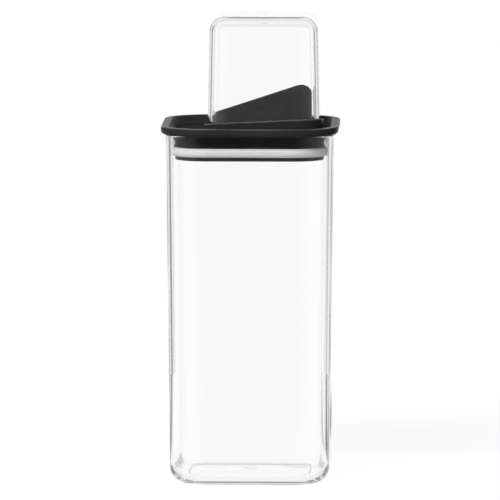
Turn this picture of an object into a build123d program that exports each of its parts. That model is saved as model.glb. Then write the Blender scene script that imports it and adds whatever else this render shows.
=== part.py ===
from build123d import *
from math import cos, radians, tan
import os

# An airtight food storage container: a tall clear jar with a rounded-square plan, a dark plug lid
# with a sunk tray and a pour spout, and a clear measuring cup that stands over the spout.
# Millimetres. The origin is the centre of the base, +Z is up, +X is the side of the spout's tip
# and +Y is the back.

# Cutting shapes reach this far past what they cut, and a rounding takes no more than this share of its wall
cut_margin = 1.0
rounding_share = 0.34

# Jar
jar_height = 229.6
jar_mouth_half = 55.0
jar_base_half = 52.2
jar_corner_centre = 28.5
jar_wall_at_mouth = 3.2
jar_wall_at_base = 2.4
jar_floor_wall = 3.2
jar_foot_radius = 10.5
jar_floor_radius = 8.4
jar_lip_radius = 1.0
rest_ring_width = 1.4
base_recess = 0.8
recess_step_run = 0.3
recess_radius = 0.3
floor_panel_inset = 0.4
floor_panel_depth = 0.3
floor_panel_run = 0.2

# Gate marks left by moulding: a shallow round dimple with a nub in it
jar_gate_radius = 5.0
jar_gate_depth = 0.5
cup_gate_radius = 2.6
cup_gate_depth = 0.35
gate_nub_share = 0.3

# Lid: rim, tray, neck and skirt
rim_overhang = 3.1
rim_height = 5.3
rim_land = 4.9
rim_top_radius = 1.0
rim_under_radius = 2.6
tray_depth = 6.1
tray_wall_run = 4.0
tray_root_radius = 1.2
tray_edge_radius = 0.7
tray_floor_wall = 2.0
neck_clearance = 0.5
waist_depth = 3.3
waist_drop = 5.2
waist_radius = 3.0
shoulder_lead = 1.2
skirt_wall = 2.3
skirt_root_radius = 0.8

# Gasket and the ring that keeps it on
gasket_drop = 7.9
gasket_height = 5.8
gasket_wall_clearance = 0.5
gasket_stretch_clearance = 0.05
gasket_crown = 1.2
gasket_band_height = 2.6
gasket_crown_radius = 1.6
gasket_edge_radius = 0.5
gasket_seat_depth = 4.3
retainer_flange = 2.6
retainer_step_in = 2.6
retainer_edge_radius = 0.7
retainer_leg_wall = 1.6
retainer_leg_height = 5.0
clip_clearance = 0.1
clip_bead = 0.35
clip_bead_height = 1.6
clip_bead_rise = 2.2

# Collar on the tray that takes the foot of the cup
collar_tray_gap = 1.3
tower_corner_centre = 21.5
collar_cup_clearance = 0.4
collar_wall = 1.8
collar_mid_height = 6.4
collar_rise_angle = 2.8
collar_edge_radius = 0.7
fall_to_back_angle = 5.4

# Pour spout
spout_half = 31.8
spout_wall = 2.1
spout_draft = 0.3
spout_mid_height = 22.8
spout_slope_angle = 18.2
spout_tip_radius = 7.4
spout_low_radius = 2.4
spout_lip_radius = 0.6
spout_lip_overrun = 0.3
spout_hole_clearance = 0.12
spout_flange_reach = 2.6
spout_flange_wall = 1.8
spout_bore_radius = 0.6
mouth_face_tilt = 0.2

# Measuring cup
cup_height = 76.2
cup_spout_clearance = 2.6
cup_taper = 1.6
cup_wall = 2.3
cup_ceiling_wall = 2.6
cup_shoulder_radius = 9.8
cup_foot_radius = 0.7

# Seal under the foot of the cup
seal_height = 1.2
seal_lip_height = 3.6
seal_lip_wall = 1.3
seal_fit = 0.1
seal_edge_radius = 0.4

# Levels and widths that follow from the sizes above
mouth_inner_half = jar_mouth_half - jar_wall_at_mouth
floor_inner_half = jar_base_half - jar_wall_at_base
jar_floor_level = base_recess + jar_floor_wall
floor_panel_level = jar_floor_level - floor_panel_depth
floor_panel_half = floor_inner_half - jar_floor_radius - floor_panel_inset
jar_inner_draft = (mouth_inner_half - floor_inner_half) / jar_height
rim_half = jar_mouth_half + rim_overhang
rim_top_level = jar_height + rim_height
tray_half = rim_half - rim_land
tray_floor_half = tray_half - tray_wall_run
tray_floor_level = rim_top_level - tray_depth
tray_under_level = tray_floor_level - tray_floor_wall
gasket_top_level = jar_height - gasket_drop
gasket_foot_level = gasket_top_level - gasket_height
retainer_foot_level = gasket_foot_level - retainer_flange
neck_half = mouth_inner_half - neck_clearance
waist_half = mouth_inner_half - waist_depth
gasket_seat_half = neck_half - gasket_seat_depth
skirt_inner_half = gasket_seat_half - skirt_wall
seal_top_level = tray_floor_level + seal_height
cup_top_level = seal_top_level + cup_height
cup_inner_foot_half = spout_half + cup_spout_clearance
cup_foot_half = cup_inner_foot_half + cup_wall
cup_top_half = cup_foot_half - cup_taper
collar_inner_half = cup_foot_half + collar_cup_clearance
collar_half = collar_inner_half + collar_wall
spout_foot_level = tray_under_level - spout_flange_wall
tower = Pos(tray_floor_half - collar_tray_gap - collar_half, 0, 0)


def jar_inner_half(level):
    """Half the clear width inside the jar at a level."""
    return floor_inner_half + jar_inner_draft * level


def profile(*corners):
    """Closed section in the XZ plane: each corner is (distance out, level, rounding)."""
    points = [(out, level) for out, level, rounding in corners]
    outline = FilletPolyline(*points, radius=[rounding for out, level, rounding in corners], close=True)
    return Plane.XZ * make_face(outline)


def rounded_square(section, corner_centre):
    """Body of rounded-square plan: the section runs along each side and turns round each corner."""
    reach = section.bounding_box()
    middle = Plane.XZ * Pos((corner_centre + reach.max.X + cut_margin) / 2, (reach.min.Z + reach.max.Z) / 2)
    outer_width = reach.max.X + cut_margin - corner_centre
    beyond_corner = middle * Rectangle(outer_width, reach.size.Z + 2 * cut_margin)
    turned = section & beyond_corner if reach.min.X < corner_centre else section
    side = extrude(section, amount=corner_centre, both=True)
    corner_axis = Axis((corner_centre, corner_centre, 0), (0, 0, 1))
    corner = revolve(Pos(0, corner_centre, 0) * turned, axis=corner_axis, revolution_arc=90)
    quarter_turns = [Rot(0, 0, 90 * turn) for turn in range(4)]
    pieces = [turn * piece for turn in quarter_turns for piece in (side, corner)]
    return pieces[0].fuse(*pieces[1:]).clean()


def slanted_plane(mid_level, rise_angle):
    """Plane over the tower's centre that rises to the spout's tip and falls to the back."""
    rise = tan(radians(rise_angle))
    fall = tan(radians(fall_to_back_angle))
    return Plane(origin=(0, 0, mid_level), x_dir=(1, 0, rise), z_dir=(-rise, fall, 1))


def gate_mark(dimple_radius, dimple_depth, level, facing):
    """Dimple to cut and nub to add back, in a face at a level that faces up (1) or down (-1)."""
    middle = Pos(0, 0, level - facing * dimple_depth / 2)
    dimple = middle * Cylinder(dimple_radius, dimple_depth)
    nub = middle * Cylinder(dimple_radius * gate_nub_share, dimple_depth)
    return dimple - nub


def make_container():
    """Clear jar: drafted walls, a soft round foot, a rest ring, a sunk base and a sunk panel in its floor."""
    ring_inner = jar_base_half - jar_foot_radius - rest_ring_width
    section = profile(
        (0, base_recess, 0),
        (ring_inner - recess_step_run, base_recess, recess_radius),
        (ring_inner, 0, recess_radius / 2),
        (jar_base_half, 0, jar_foot_radius),
        (jar_mouth_half, jar_height, jar_lip_radius),
        (mouth_inner_half, jar_height, jar_lip_radius),
        (jar_inner_half(jar_floor_level), jar_floor_level, jar_floor_radius),
        (floor_panel_half, jar_floor_level, 0),
        (floor_panel_half - floor_panel_run, floor_panel_level, 0),
        (0, floor_panel_level, 0),
    )
    jar = rounded_square(section, jar_corner_centre)
    return jar - gate_mark(jar_gate_radius, jar_gate_depth, floor_panel_level, 1)


def make_collar():
    """Wall round the cup's foot, cut by a plane that is low at the back and towards the spout's low side."""
    top_plane = slanted_plane(tray_floor_level + collar_mid_height, collar_rise_angle)
    tallest = tray_floor_level + 2 * collar_mid_height + collar_half * tan(radians(collar_rise_angle))
    section = profile(
        (collar_inner_half, tray_under_level, 0),
        (collar_half, tray_under_level, 0),
        (collar_half, tallest, 0),
        (collar_inner_half, tallest, 0),
    )
    wall = split(rounded_square(section, tower_corner_centre), bisect_by=top_plane, keep=Keep.BOTTOM)
    top_face = wall.faces().sort_by(lambda face: abs(top_plane.to_local_coords(face.center()).Z))[0]
    return fillet(top_face.edges(), min(collar_edge_radius, collar_wall * rounding_share))


def make_lid():
    """Rim, sunk tray, waisted neck and gasket skirt in one moulding, with the collar on the tray."""
    groove_foot = gasket_foot_level + clip_bead_rise
    groove_depth = clip_bead + clip_clearance
    section = profile(
        (0, tray_floor_level, 0),
        (tray_floor_half, tray_floor_level, tray_root_radius),
        (tray_half, rim_top_level, tray_edge_radius),
        (rim_half, rim_top_level, rim_top_radius),
        (rim_half, jar_height, rim_under_radius),
        (neck_half, jar_height, 0),
        (waist_half, jar_height - waist_drop, waist_radius),
        (waist_half + shoulder_lead, gasket_top_level, 0),
        (gasket_seat_half, gasket_top_level, 0),
        (gasket_seat_half, gasket_foot_level, 0),
        (skirt_inner_half, gasket_foot_level, 0),
        (skirt_inner_half, groove_foot, 0),
        (skirt_inner_half + groove_depth, groove_foot + groove_depth, 0),
        (skirt_inner_half + groove_depth, groove_foot + clip_bead_height, 0),
        (skirt_inner_half, groove_foot + clip_bead_height + groove_depth, 0),
        (skirt_inner_half, tray_under_level, skirt_root_radius),
        (0, tray_under_level, 0),
    )
    hole_half = spout_half + spout_hole_clearance
    hole_section = profile(
        (0, tray_under_level - cut_margin, 0),
        (hole_half, tray_under_level - cut_margin, 0),
        (hole_half, tray_floor_level + cut_margin, 0),
        (0, tray_floor_level + cut_margin, 0),
    )
    moulding = rounded_square(section, jar_corner_centre) + tower * make_collar()
    return moulding - tower * rounded_square(hole_section, tower_corner_centre)


def make_gasket():
    """Endless silicone band whose crowned outside meets the jar's wall."""
    inner_half = gasket_seat_half + gasket_stretch_clearance
    middle = gasket_foot_level + gasket_height / 2
    outer_half = jar_inner_half(middle - gasket_band_height / 2) - gasket_wall_clearance
    section = profile(
        (inner_half, gasket_foot_level, 0),
        (outer_half - gasket_crown, gasket_foot_level, gasket_edge_radius),
        (outer_half, middle - gasket_band_height / 2, gasket_crown_radius),
        (outer_half, middle + gasket_band_height / 2, gasket_crown_radius),
        (outer_half - gasket_crown, gasket_top_level, gasket_edge_radius),
        (inner_half, gasket_top_level, 0),
    )
    return rounded_square(section, jar_corner_centre)


def make_retainer():
    """Ring that clips into the skirt by a bead and carries the gasket on its flange."""
    flange_half = neck_half - retainer_step_in
    leg_outer = skirt_inner_half - clip_clearance
    leg_inner = leg_outer - retainer_leg_wall
    leg_top = gasket_foot_level + retainer_leg_height
    bead_foot = gasket_foot_level + clip_bead_rise + clip_clearance
    bead_top = bead_foot + clip_bead_height
    section = profile(
        (leg_inner, retainer_foot_level, retainer_edge_radius),
        (flange_half, retainer_foot_level, retainer_edge_radius),
        (flange_half, gasket_foot_level, retainer_edge_radius / 2),
        (leg_outer, gasket_foot_level, 0),
        (leg_outer, bead_foot, 0),
        (leg_outer + clip_bead, bead_foot + clip_bead, 0),
        (leg_outer + clip_bead, bead_top - clip_bead, 0),
        (leg_outer, bead_top, 0),
        (leg_outer, leg_top, clip_bead),
        (leg_inner, leg_top, clip_bead),
    )
    return rounded_square(section, jar_corner_centre)


def is_mouth_face(face):
    """True for the faces that the slanted cut leaves on the spout."""
    return face.center().Z > tray_floor_level and face.normal_at().Z > mouth_face_tilt


def make_spout():
    """Rounded-square tube with a slanted mouth, a rounded tip and a flange under the tray."""
    rise = tan(radians(spout_slope_angle))
    fall = tan(radians(fall_to_back_angle))
    mid_level = tray_floor_level + spout_mid_height
    tallest = mid_level + spout_half * (rise + fall)
    inner_half = spout_half - spout_wall
    side = spout_half + spout_lip_overrun
    tube_section = profile(
        (inner_half, spout_foot_level, spout_bore_radius),
        (spout_half, spout_foot_level, 0),
        (spout_half - spout_draft, tallest, 0),
        (inner_half - spout_draft, tallest, 0),
    )
    flange_section = profile(
        (spout_half - spout_wall / 2, spout_foot_level, 0),
        (spout_half + spout_flange_reach, spout_foot_level, 0),
        (spout_half + spout_flange_reach, tray_under_level, 0),
        (spout_half - spout_wall / 2, tray_under_level, 0),
    )
    side_view = profile(
        (-side, spout_foot_level - side, 0),
        (side, spout_foot_level - side, 0),
        (side, mid_level + side * rise, spout_tip_radius),
        (-side, mid_level - side * rise, spout_low_radius),
    )
    front_view = Pos(0, -side, side * fall) * side_view
    kept_body = extrude(front_view, amount=2 * side / cos(radians(fall_to_back_angle)), dir=(0, 1, -fall))
    tube = rounded_square(tube_section, tower_corner_centre) & kept_body
    lip_faces = [face for face in tube.faces() if is_mouth_face(face)]
    lip_edges = [edge for face in lip_faces for edge in face.edges()]
    outline = [edge for edge in lip_edges if lip_edges.count(edge) == 1]
    tube = fillet(outline, min(spout_lip_radius, spout_wall * rounding_share))
    return tube + rounded_square(flange_section, tower_corner_centre)


def make_cup():
    """Clear cup, mouth down, with drafted walls and soft shoulders."""
    ceiling_level = cup_top_level - cup_ceiling_wall
    shoulder_inside = cup_shoulder_radius - cup_wall
    section = profile(
        (0, cup_top_level, 0),
        (cup_top_half, cup_top_level, cup_shoulder_radius),
        (cup_foot_half, seal_top_level, cup_foot_radius),
        (cup_inner_foot_half, seal_top_level, cup_foot_radius),
        (cup_top_half - cup_wall, ceiling_level, shoulder_inside),
        (0, ceiling_level, 0),
    )
    cup = rounded_square(section, tower_corner_centre)
    return cup - gate_mark(cup_gate_radius, cup_gate_depth, ceiling_level, -1)


def make_cup_seal():
    """Silicone ring: a flat foot under the cup's edge and a lip inside it, round the spout."""
    inner_half = spout_half + seal_fit
    outer_half = collar_inner_half - seal_fit
    lip_half = inner_half + seal_lip_wall
    section = profile(
        (inner_half, tray_floor_level, 0),
        (outer_half, tray_floor_level, 0),
        (outer_half, seal_top_level, seal_edge_radius),
        (lip_half, seal_top_level, 0),
        (lip_half, tray_floor_level + seal_lip_height, seal_edge_radius),
        (inner_half, tray_floor_level + seal_lip_height, seal_edge_radius),
    )
    return rounded_square(section, tower_corner_centre)


subparts = {
    "container": make_container(),
    "lid": make_lid(),
    "lid_gasket": make_gasket(),
    "gasket_retainer": make_retainer(),
    "pour_spout": tower * make_spout(),
    "cup_seal": tower * make_cup_seal(),
    "measuring_cup": tower * make_cup(),
}

os.makedirs("parts", exist_ok=True)
for node, shape in subparts.items():
    export_step(shape, f"parts/{node}.step")
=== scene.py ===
from math import cos, pi, radians, sin, tan

import bpy
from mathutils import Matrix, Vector


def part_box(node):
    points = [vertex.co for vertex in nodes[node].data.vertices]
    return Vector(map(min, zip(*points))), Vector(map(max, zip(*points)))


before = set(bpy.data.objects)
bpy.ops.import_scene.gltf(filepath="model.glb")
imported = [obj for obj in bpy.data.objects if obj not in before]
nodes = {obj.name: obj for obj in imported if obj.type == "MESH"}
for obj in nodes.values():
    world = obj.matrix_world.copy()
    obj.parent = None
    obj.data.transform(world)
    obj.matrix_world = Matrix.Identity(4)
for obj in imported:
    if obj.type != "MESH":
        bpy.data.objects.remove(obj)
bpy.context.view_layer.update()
clear_nodes = ("container", "measuring_cup")

# Camera, in metres and degrees: a long lens a little above the lid, just right of the front, whose
# picture takes in picture_width at the object
camera_azimuth = 1.8
camera_distance = 5.35
camera_clip = 3 * camera_distance
lid_view_elevation = 5.25
picture_width = 0.3293
aim_side = -0.0006
aim_height = 0.1502
sensor_width = 36.0

# Levels of light, where 1 is white, and the rise at which the backdrop seen through walls is dimmest
white = (1.0, 1.0, 1.0, 1.0)
room_level = 0.09
backdrop_level = 1.0
upper_backdrop_level = 0.86
upper_backdrop_rise = 0.08

# Floor, in metres from its middle: lit by the lamps near the object, and a glow further out
floor_radius = 0.6
floor_steps = 96
floor_shade = 0.7
floor_seen_shade = 0.8
floor_lit_level = 0.64
floor_glow_start = 0.12
floor_glow_end = 0.5
floor_least_glow = 0.5

# In a gloss the floor has its own level at the foot, and the studio's level further out
floor_near_level = 0.95
floor_near_end = 0.08
floor_far_start = 0.2

# Four soft lamps round the object: name, angle in degrees from the front, power in watts and
# whether gloss shows it
softbox_distance = 1.55
softbox_elevation = 40.0
softbox_size = 0.6
softboxes = (
    ("front_softbox", -24, 20.0, True),
    ("left_softbox", -110, 0.8, False),
    ("right_softbox", 110, 1.5, False),
    ("back_softbox", 180, 9.0, False),
)

# What a gloss mirrors, by the angle in degrees from straight behind the object, left side first:
# dark at the camera, and white elsewhere but for dim screens at the left, the middle and the right
mirrored_levels = (
    (-180, 0.08), (-168, 0.1), (-150, 0.5), (-120, 1.0),
    (-52, 1.0), (-46, 0.22), (-37, 0.22), (-30, 1.0),
    (7, 1.0), (10, 0.3), (13, 0.35), (17, 1.0),
    (25, 0.8), (32, 1.0),
    (38, 0.8), (46, 0.2), (57, 0.15), (67, 1.0),
    (120, 1.0), (150, 0.5), (168, 0.1), (180, 0.08),
)

# Above and below, the mirrored level runs into one level between these rises
mirrored_overhead = 0.8
overhead_start = 0.12
overhead_end = 0.5

# Noises: waves to the metre, detail and roughness of each. The walls' waves are drawn out upward.
wall_waves = (14.0, 1.0, 0.5)
wall_scuffs = (900.0, 3.0, 0.6)
handling_marks = (60.0, 4.0, 0.6)
moulded_grain = (5200.0, 2.0, 0.5)
silicone_clouds = (90.0, 3.0, 0.55)
silicone_specks = (2600.0, 2.0, 0.5)
wave_stretch = (1, 1, 0.35)

# Where a noise starts and stops to change a value, and a colour
value_start = 0.25
value_end = 0.75
colour_start = 0.3
colour_end = 0.7

# Bumps: height in metres and strength of each
wall_wave_bump = (0.0004, 0.06)
grain_bump = (0.00002, 0.5)
speck_bump = (0.00002, 0.4)

# Clear plastic: the colours of its surface, gloss, shadow and depth, and what a metre of it absorbs
plastic_ior = 1.49
clear_colour = (0.998, 0.998, 0.998, 1)
clear_gloss = (0.3, 0.3, 0.3, 1)
clear_shadow = (0.97, 0.97, 0.97, 1)
clear_depth = (0.0, 0.02, 0.02, 1)
clear_scuff = 0.02
jar_absorption = 3.0
cup_absorption = 4.0

# Charcoal plastics: shade, roughness and gloss of each, and how far the shade and roughness vary
lid_finish = (0.031, 0.3, 0.02)
retainer_finish = (0.045, 0.42, 0.1)
spout_finish = (0.05, 0.4, 0.12)
dark_share = (0.88, 0.88, 0.9)
light_share = (1.14, 1.14, 1.16)
smoother_by = 0.04
rougher_by = 0.05

# The lid's plastic is duller on the neck, inside the jar, and darkened there by painted shade under the
# rim
neck_painted_shade = 0.65
neck_dullness = 0.6

# Painted highlights make it paler along the rim's outer top edge and the collar's slanted top edge. The
# rim's height is above the jar, and the collar's above its floor at the spout's middle. A corner centre is
# how far the middle of a rounded corner lies from the axis, along each side.
painted_highlight_shade = 3.6
painted_highlight_width = 0.0008
rim_highlight_share = 0.4
rim_height = 0.0053
rim_rounding = 0.001
lid_corner_centre = 0.0285
collar_corner_centre = 0.0215
collar_reach = 0.0395
collar_mid_height = 0.0064
collar_rise_angle = 2.8
collar_fall_angle = 5.4
any_height = 1.0

# Silicone: two shades, roughness, and how much and how far it scatters light inside
silicone_dark = (0.84, 0.84, 0.835)
silicone_light = (0.88, 0.88, 0.875)
silicone_smoothest = 0.42
silicone_roughest = 0.55
silicone_ior = 1.41
silicone_scatter = 0.9
silicone_scatter_reach = (0.004, 0.004, 0.004)

# How often light may turn at the clear walls and at gloss
wall_bounces = 32
gloss_bounces = 24


class Tree:
    """Short names for adding and joining nodes of one material or world."""

    def __init__(self, owner):
        owner.use_nodes = True
        self.tree = owner.node_tree
        self.tree.nodes.clear()

    def node(self, kind, inputs=None, **settings):
        """Adds a node; inputs are values or other nodes' output sockets."""
        made = self.tree.nodes.new(kind)
        for name, value in settings.items():
            setattr(made, name, value)
        for name, value in (inputs or {}).items():
            if isinstance(value, bpy.types.NodeSocket):
                self.tree.links.new(value, made.inputs[name])
            else:
                made.inputs[name].default_value = value
        return made

    def maths(self, operation, first, second=0.0):
        """A Math node's output."""
        return self.node("ShaderNodeMath", {0: first, 1: second}, operation=operation).outputs["Value"]

    def vector(self, operation, inputs):
        """A Vector Math node's output that is a vector."""
        return self.node("ShaderNodeVectorMath", inputs, operation=operation).outputs["Vector"]

    def measure(self, operation, inputs):
        """A Vector Math node's output that is a number."""
        return self.node("ShaderNodeVectorMath", inputs, operation=operation).outputs["Value"]

    def path(self):
        """What is known of the ray that is being traced."""
        return self.node("ShaderNodeLightPath").outputs

    def place(self):
        """The shaded place in the object's own space."""
        return self.node("ShaderNodeTexCoord").outputs["Object"]

    def upward(self, vector):
        """The upward part of a vector."""
        return self.node("ShaderNodeSeparateXYZ", {0: vector}).outputs["Z"]

    def ramp(self, value, start, end, low=0.0, high=1.0, **settings):
        """A number that runs from low to high as the value runs from start to end."""
        inputs = {"Value": value, "From Min": start, "From Max": end, "To Min": low, "To Max": high}
        return self.node("ShaderNodeMapRange", inputs, **settings).outputs["Result"]

    def mixed(self, factor, first, second):
        """A number that runs from the first to the second as the factor runs from 0 to 1."""
        return self.ramp(factor, 0.0, 1.0, first, second)

    def varied(self, noise, low, high):
        """A number that a noise moves between low and high."""
        return self.ramp(noise, value_start, value_end, low, high)

    def noise(self, kind, place):
        """One of the named noises at a place, from 0 to 1."""
        scale, detail, roughness = kind
        inputs = {"Vector": place, "Scale": scale, "Detail": detail, "Roughness": roughness}
        return self.node("ShaderNodeTexNoise", inputs).outputs["Fac"]

    def colours(self, value, stops):
        """A colour that runs through stops, each a value and its colour."""
        ramp = self.node("ShaderNodeValToRGB", {"Fac": value})
        elements = ramp.color_ramp.elements
        while len(elements) < len(stops):
            elements.new(1.0)
        for element, (position, colour) in zip(elements, stops):
            element.position = position
            element.color = (*colour, 1)
        return ramp.outputs["Color"]

    def bump(self, height, kind):
        """A normal tilted by a height, in one of the named bumps."""
        distance, strength = kind
        inputs = {"Height": height, "Distance": distance, "Strength": strength}
        return self.node("ShaderNodeBump", inputs).outputs["Normal"]

    def mixed_shaders(self, factor, first, second):
        """A shader between two shaders."""
        inputs = {0: factor, 1: first.outputs[0], 2: second.outputs[0]}
        return self.node("ShaderNodeMixShader", inputs).outputs["Shader"]


def make_camera():
    """A camera at the photograph's viewing angle, aimed at the middle of the object."""
    azimuth = radians(camera_azimuth)
    gasket_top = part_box("lid_gasket")[1].z
    height = gasket_top + camera_distance * tan(radians(lid_view_elevation))
    place = Vector((sin(azimuth) * camera_distance, -cos(azimuth) * camera_distance, height))
    aim = Vector((aim_side * cos(azimuth), aim_side * sin(azimuth), aim_height))
    data = bpy.data.cameras.new("camera")
    data.sensor_width = sensor_width
    data.lens = sensor_width * (place - aim).length / picture_width
    data.clip_end = camera_clip
    camera = bpy.data.objects.new("camera", data)
    camera.location = place
    camera.rotation_euler = (aim - place).to_track_quat("-Z", "Y").to_euler()
    bpy.context.scene.collection.objects.link(camera)
    bpy.context.scene.camera = camera


def mirrored_studio(tree, direction):
    """How light the studio is in a direction, as a gloss mirrors it."""
    parts = tree.node("ShaderNodeSeparateXYZ", {0: direction}).outputs
    turn = tree.maths("DIVIDE", tree.maths("ARCTAN2", parts["X"], parts["Y"]), 2 * pi)
    stops = [(degrees / 360 + 0.5, (level, level, level)) for degrees, level in mirrored_levels]
    around = tree.colours(tree.maths("ADD", turn, 0.5), stops)
    rise = tree.maths("ABSOLUTE", tree.upward(tree.vector("NORMALIZE", {0: direction})))
    overhead = tree.ramp(rise, overhead_start, overhead_end)
    return tree.mixed(overhead, around, mirrored_overhead)


def backdrop(tree, direction, mirrored_level):
    """Whether a ray sees the backdrop, and how light it is: for the camera, behind walls or in a gloss."""
    path = tree.path()
    direct = tree.maths("MAXIMUM", path["Is Camera Ray"], path["Is Glossy Ray"])
    shown = tree.maths("MAXIMUM", direct, path["Is Transmission Ray"])
    above = tree.ramp(tree.upward(direction), 0.0, upper_backdrop_rise)
    behind_walls = tree.mixed(above, backdrop_level, upper_backdrop_level)
    plain = tree.mixed(path["Is Camera Ray"], behind_walls, backdrop_level)
    mirrored = tree.maths("GREATER_THAN", path["Glossy Depth"], 0.0)
    return shown, tree.mixed(mirrored, plain, mirrored_level)


def make_world():
    """White where it is seen, and a low even light on the object."""
    world = bpy.data.worlds.new("studio")
    bpy.context.scene.world = world
    tree = Tree(world)
    direction = tree.node("ShaderNodeTexCoord").outputs["Generated"]
    shown, level = backdrop(tree, direction, mirrored_studio(tree, direction))
    seen = tree.node("ShaderNodeBackground", {"Color": white, "Strength": level})
    light = tree.node("ShaderNodeBackground", {"Color": white, "Strength": room_level})
    tree.node("ShaderNodeOutputWorld", {"Surface": tree.mixed_shaders(shown, light, seen)})


def pale_floor():
    """A dull pale surface that takes light near the object and glows evenly further out."""
    material = bpy.data.materials.new("pale_floor")
    tree = Tree(material)
    place = tree.place()
    far = tree.measure("LENGTH", {0: place})
    beyond_foot = tree.ramp(far, floor_near_end, floor_far_start)
    mirrored_level = tree.mixed(beyond_foot, floor_near_level, mirrored_studio(tree, place))
    shown, level = backdrop(tree, place, mirrored_level)
    lit = tree.node("ShaderNodeBsdfDiffuse", {"Color": tree.mixed(shown, floor_shade, floor_seen_shade)})
    outward = tree.ramp(far, floor_glow_start, floor_glow_end, floor_least_glow,
                        interpolation_type="SMOOTHSTEP")
    glowing = tree.maths("MAXIMUM", outward, tree.path()["Is Transmission Ray"])
    # The glow makes up for what the lamps leave, so that both together are even
    from_lamps = tree.maths("MULTIPLY", tree.maths("SUBTRACT", 1.0, glowing), floor_lit_level)
    filling = tree.maths("DIVIDE", tree.maths("SUBTRACT", 1.0, from_lamps), glowing)
    strength = tree.maths("MULTIPLY", filling, level)
    glow = tree.node("ShaderNodeEmission", {"Color": white, "Strength": strength})
    share = tree.maths("MULTIPLY", glowing, shown)
    tree.node("ShaderNodeOutputMaterial", {"Surface": tree.mixed_shaders(share, lit, glow)})
    return material


def make_floor():
    """A round floor under the object."""
    turns = [2 * pi * step / floor_steps for step in range(floor_steps)]
    corners = [(floor_radius * cos(turn), floor_radius * sin(turn), 0) for turn in turns]
    mesh = bpy.data.meshes.new("floor")
    mesh.from_pydata(corners, [], [list(range(floor_steps))])
    mesh.materials.append(pale_floor())
    floor = bpy.data.objects.new("floor", mesh)
    bpy.context.scene.collection.objects.link(floor)
    return floor


def collect_lit_pieces(floor):
    """The floor and all pieces that aren't clear: the lamps light these alone."""
    lit_pieces = bpy.data.collections.new("lit_pieces")
    lit_pieces.objects.link(floor)
    for name in nodes:
        if name not in clear_nodes:
            lit_pieces.objects.link(nodes[name])
    return lit_pieces


def make_softbox(name, angle, power, in_gloss, lit_pieces):
    """A square soft lamp above the object, aimed at its middle, that lights one collection of pieces."""
    data = bpy.data.lights.new(name, "AREA")
    data.shape = "SQUARE"
    data.size = softbox_size
    data.energy = power
    out = softbox_distance * cos(radians(softbox_elevation))
    up = softbox_distance * sin(radians(softbox_elevation))
    offset = Vector((sin(radians(angle)) * out, -cos(radians(angle)) * out, up))
    lamp = bpy.data.objects.new(name, data)
    lamp.location = Vector((0, 0, aim_height)) + offset
    lamp.rotation_euler = (-offset).to_track_quat("-Z", "Y").to_euler()
    lamp.light_linking.receiver_collection = lit_pieces
    lamp.visible_glossy = in_gloss
    bpy.context.scene.collection.objects.link(lamp)


def clear_plastic(name, absorption):
    """Clear moulded plastic: slightly wavy walls, fine scuffs, and a faint grey along its thickness."""
    material = bpy.data.materials.new(name)
    tree = Tree(material)
    place = tree.place()
    stretched = tree.node("ShaderNodeMapping", {"Vector": place, "Scale": wave_stretch}).outputs["Vector"]
    walls = tree.node("ShaderNodeBsdfPrincipled", {
        "Base Color": clear_colour,
        "Roughness": tree.varied(tree.noise(wall_scuffs, place), 0.0, clear_scuff),
        "IOR": plastic_ior,
        "Specular Tint": clear_gloss,
        "Transmission Weight": 1.0,
        "Normal": tree.bump(tree.noise(wall_waves, stretched), wall_wave_bump),
    })
    # Shadows and soft light go straight through, which keeps what is inside from going dark
    path = tree.path()
    soft_light = tree.maths("MAXIMUM", path["Is Shadow Ray"], path["Is Diffuse Ray"])
    open_way = tree.node("ShaderNodeBsdfTransparent", {"Color": clear_shadow})
    inside = tree.node("ShaderNodeVolumeAbsorption", {"Color": clear_depth, "Density": absorption})
    tree.node("ShaderNodeOutputMaterial", {
        "Surface": tree.mixed_shaders(soft_light, walls, open_way),
        "Volume": inside.outputs["Volume"],
    })
    return material


def out_from(tree, place, middle, corner_centre):
    """How far out a place is from an upright axis, at any height, as a rounded square measures it."""
    offset = tree.vector("ABSOLUTE", {0: tree.vector("SUBTRACT", {0: place, 1: (middle, 0, 0)})})
    beyond = tree.vector("SUBTRACT", {0: offset, 1: (corner_centre, corner_centre, any_height)})
    beyond = tree.vector("MAXIMUM", {0: beyond, 1: (0, 0, 0)})
    return tree.maths("ADD", tree.measure("LENGTH", {0: beyond}), corner_centre)


def rim_edge(tree, place, width):
    """1 within a width of the outer top edge of the lid's rim, where a highlight is painted, 0 elsewhere.
    """
    rim_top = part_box("container")[1].z + rim_height
    rim_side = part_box("lid")[1].x - rim_rounding
    outside = tree.maths("GREATER_THAN", out_from(tree, place, 0, lid_corner_centre), rim_side)
    raised = tree.maths("ADD", tree.upward(place), tree.maths("MULTIPLY", width, rim_highlight_share))
    return tree.maths("MULTIPLY", outside, tree.maths("GREATER_THAN", raised, rim_top))


def collar_edge(tree, place, width):
    """1 within a width of the collar's slanted top, where a highlight is painted, 0 elsewhere."""
    spout_low, spout_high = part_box("pour_spout")
    middle = (spout_low.x + spout_high.x) / 2
    top_middle = (middle, 0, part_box("cup_seal")[0].z + collar_mid_height)
    offset = tree.vector("SUBTRACT", {0: place, 1: top_middle})
    square_to_top = (-tan(radians(collar_rise_angle)), tan(radians(collar_fall_angle)), 1)
    above_top = tree.measure("DOT_PRODUCT", {0: offset, 1: square_to_top})
    near_top = tree.maths("GREATER_THAN", tree.maths("ADD", above_top, width), 0.0)
    in_collar = tree.maths("LESS_THAN", out_from(tree, place, middle, collar_corner_centre), collar_reach)
    return tree.maths("MULTIPLY", near_top, in_collar)


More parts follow.
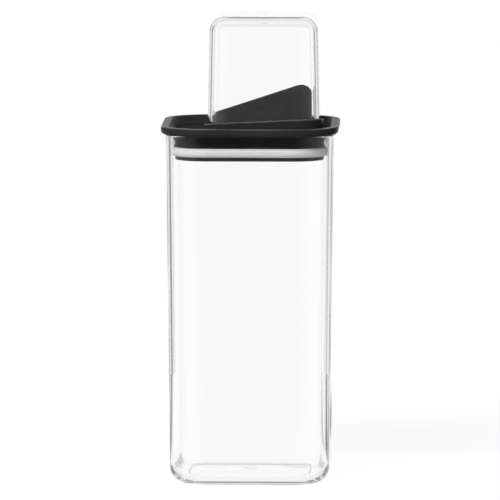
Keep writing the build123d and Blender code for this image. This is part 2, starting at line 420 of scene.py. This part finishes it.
def paint_light_on_lid(tree, place, marks, colour, satin):
    """The lid's colour and roughness: duller on the neck, with painted shade darkening the neck and
    painted highlights paling the top edges.
    """
    # Painted shade: the neck, below the jar's mouth, is darkened where the rim shades it
    below = tree.maths("LESS_THAN", tree.upward(place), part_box("container")[1].z)
    width = tree.maths("MULTIPLY", marks, 2 * painted_highlight_width)
    painted_highlight = tree.maths("MAXIMUM", rim_edge(tree, place, width), collar_edge(tree, place, width))
    # Painted highlight on the rim's and collar's top edges, painted shade on the neck
    change = tree.mixed(painted_highlight, tree.mixed(below, 1.0, neck_painted_shade), painted_highlight_shade)
    dull = tree.maths("ADD", satin, tree.maths("MULTIPLY", below, neck_dullness))
    return tree.vector("SCALE", {0: colour, "Scale": change}), dull


def charcoal_plastic(name, shade, roughness, gloss, painted_light=False):
    """Near-black moulded plastic with a fine spark-eroded grain and faint handling marks."""
    material = bpy.data.materials.new(name)
    tree = Tree(material)
    place = tree.place()
    marks = tree.noise(handling_marks, place)
    dark = [shade * share for share in dark_share]
    light = [shade * share for share in light_share]
    colour = tree.colours(marks, ((colour_start, dark), (colour_end, light)))
    satin = tree.varied(marks, roughness - smoother_by, roughness + rougher_by)
    # On the lid only: painted shade on the neck and painted highlights on the top edges
    if painted_light:
        colour, satin = paint_light_on_lid(tree, place, marks, colour, satin)
    plastic = tree.node("ShaderNodeBsdfPrincipled", {
        "Base Color": colour,
        "Roughness": satin,
        "IOR": plastic_ior,
        "Specular IOR Level": gloss,
        "Normal": tree.bump(tree.noise(moulded_grain, place), grain_bump),
    })
    tree.node("ShaderNodeOutputMaterial", {"Surface": plastic.outputs["BSDF"]})
    return material


def silicone(name):
    """Milky silicone: soft, faintly see-through, with a dusting of fine dull specks."""
    material = bpy.data.materials.new(name)
    tree = Tree(material)
    place = tree.place()
    specks = tree.noise(silicone_specks, place)
    clouds = tree.noise(silicone_clouds, place)
    rubber = tree.node("ShaderNodeBsdfPrincipled", {
        "Base Color": tree.colours(clouds, ((colour_start, silicone_dark), (colour_end, silicone_light))),
        "Roughness": tree.varied(specks, silicone_smoothest, silicone_roughest),
        "IOR": silicone_ior,
        "Subsurface Weight": silicone_scatter,
        "Subsurface Radius": silicone_scatter_reach,
        "Subsurface Scale": 1.0,
        "Normal": tree.bump(specks, speck_bump),
    })
    tree.node("ShaderNodeOutputMaterial", {"Surface": rubber.outputs["BSDF"]})
    return material


def dress(node, material):
    """Gives a node's object its material."""
    for slot in nodes[node].material_slots:
        slot.material = material


def dress_all():
    """Gives every piece its own material."""
    dress("container", clear_plastic("jar_plastic", jar_absorption))
    dress("measuring_cup", clear_plastic("cup_plastic", cup_absorption))
    dress("lid", charcoal_plastic("lid_plastic", *lid_finish, painted_light=True))
    dress("gasket_retainer", charcoal_plastic("retainer_plastic", *retainer_finish))
    dress("pour_spout", charcoal_plastic("spout_plastic", *spout_finish))
    dress("lid_gasket", silicone("gasket_silicone"))
    dress("cup_seal", silicone("seal_silicone"))


make_camera()
make_world()
lit_pieces = collect_lit_pieces(make_floor())
for softbox in softboxes:
    make_softbox(*softbox, lit_pieces)
dress_all()

bpy.context.scene.view_settings.view_transform = "Standard"
bpy.context.scene.cycles.max_bounces = wall_bounces
bpy.context.scene.cycles.glossy_bounces = gloss_bounces
bpy.context.scene.cycles.transmission_bounces = wall_bounces
